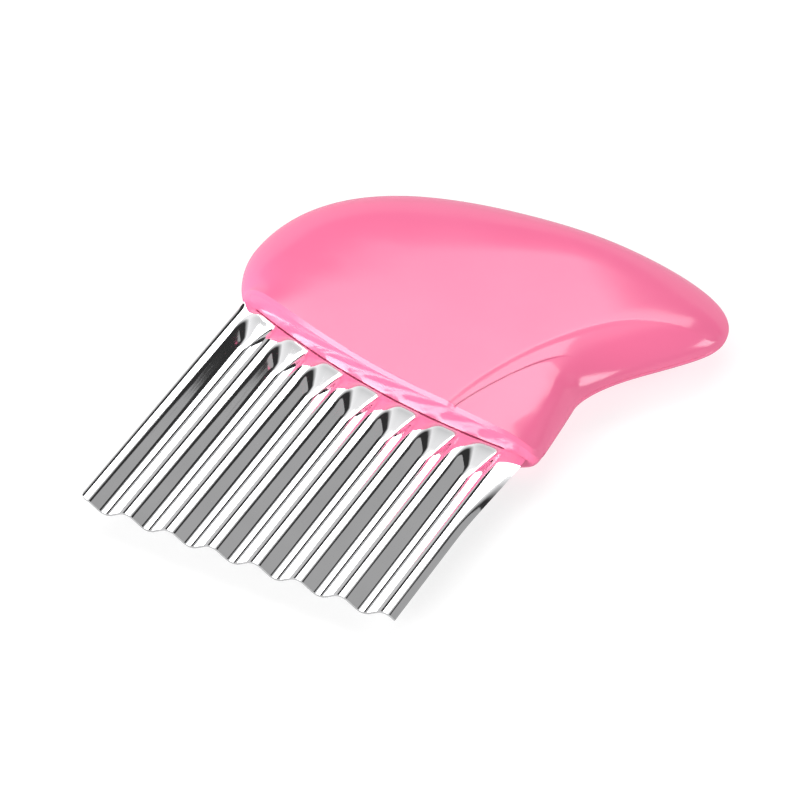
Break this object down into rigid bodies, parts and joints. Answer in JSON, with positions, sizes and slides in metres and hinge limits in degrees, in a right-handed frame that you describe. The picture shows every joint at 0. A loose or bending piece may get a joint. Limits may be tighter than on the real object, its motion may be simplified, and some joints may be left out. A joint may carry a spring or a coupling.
{
  "type": "crinkle cutter",
  "caption": "Hand-held crinkle cutter: a fluted steel blade clamped in a moulded palm grip with a thumb rest and a hooked tail.",
  "frame": {"origin": "bottom centre of the bounding box, with the cutter lying on the flat of its rear shell", "axes": "+X along the cutting edge towards the tail's side, +Y from the cutting edge to the handle's back, +Z out of the front face"},
  "size_m": [0.0974, 0.1168, 0.013],
  "materials": {
    "handle": "glossy injection-moulded pink polypropylene",
    "blade": "mirror-polished stainless steel sheet, ground at the cutting edge"
  },
  "bodies": {
    "root": {"front_shell": "handle", "rear_shell": "handle", "blade": "blade"}
  },
  "joints": []
}
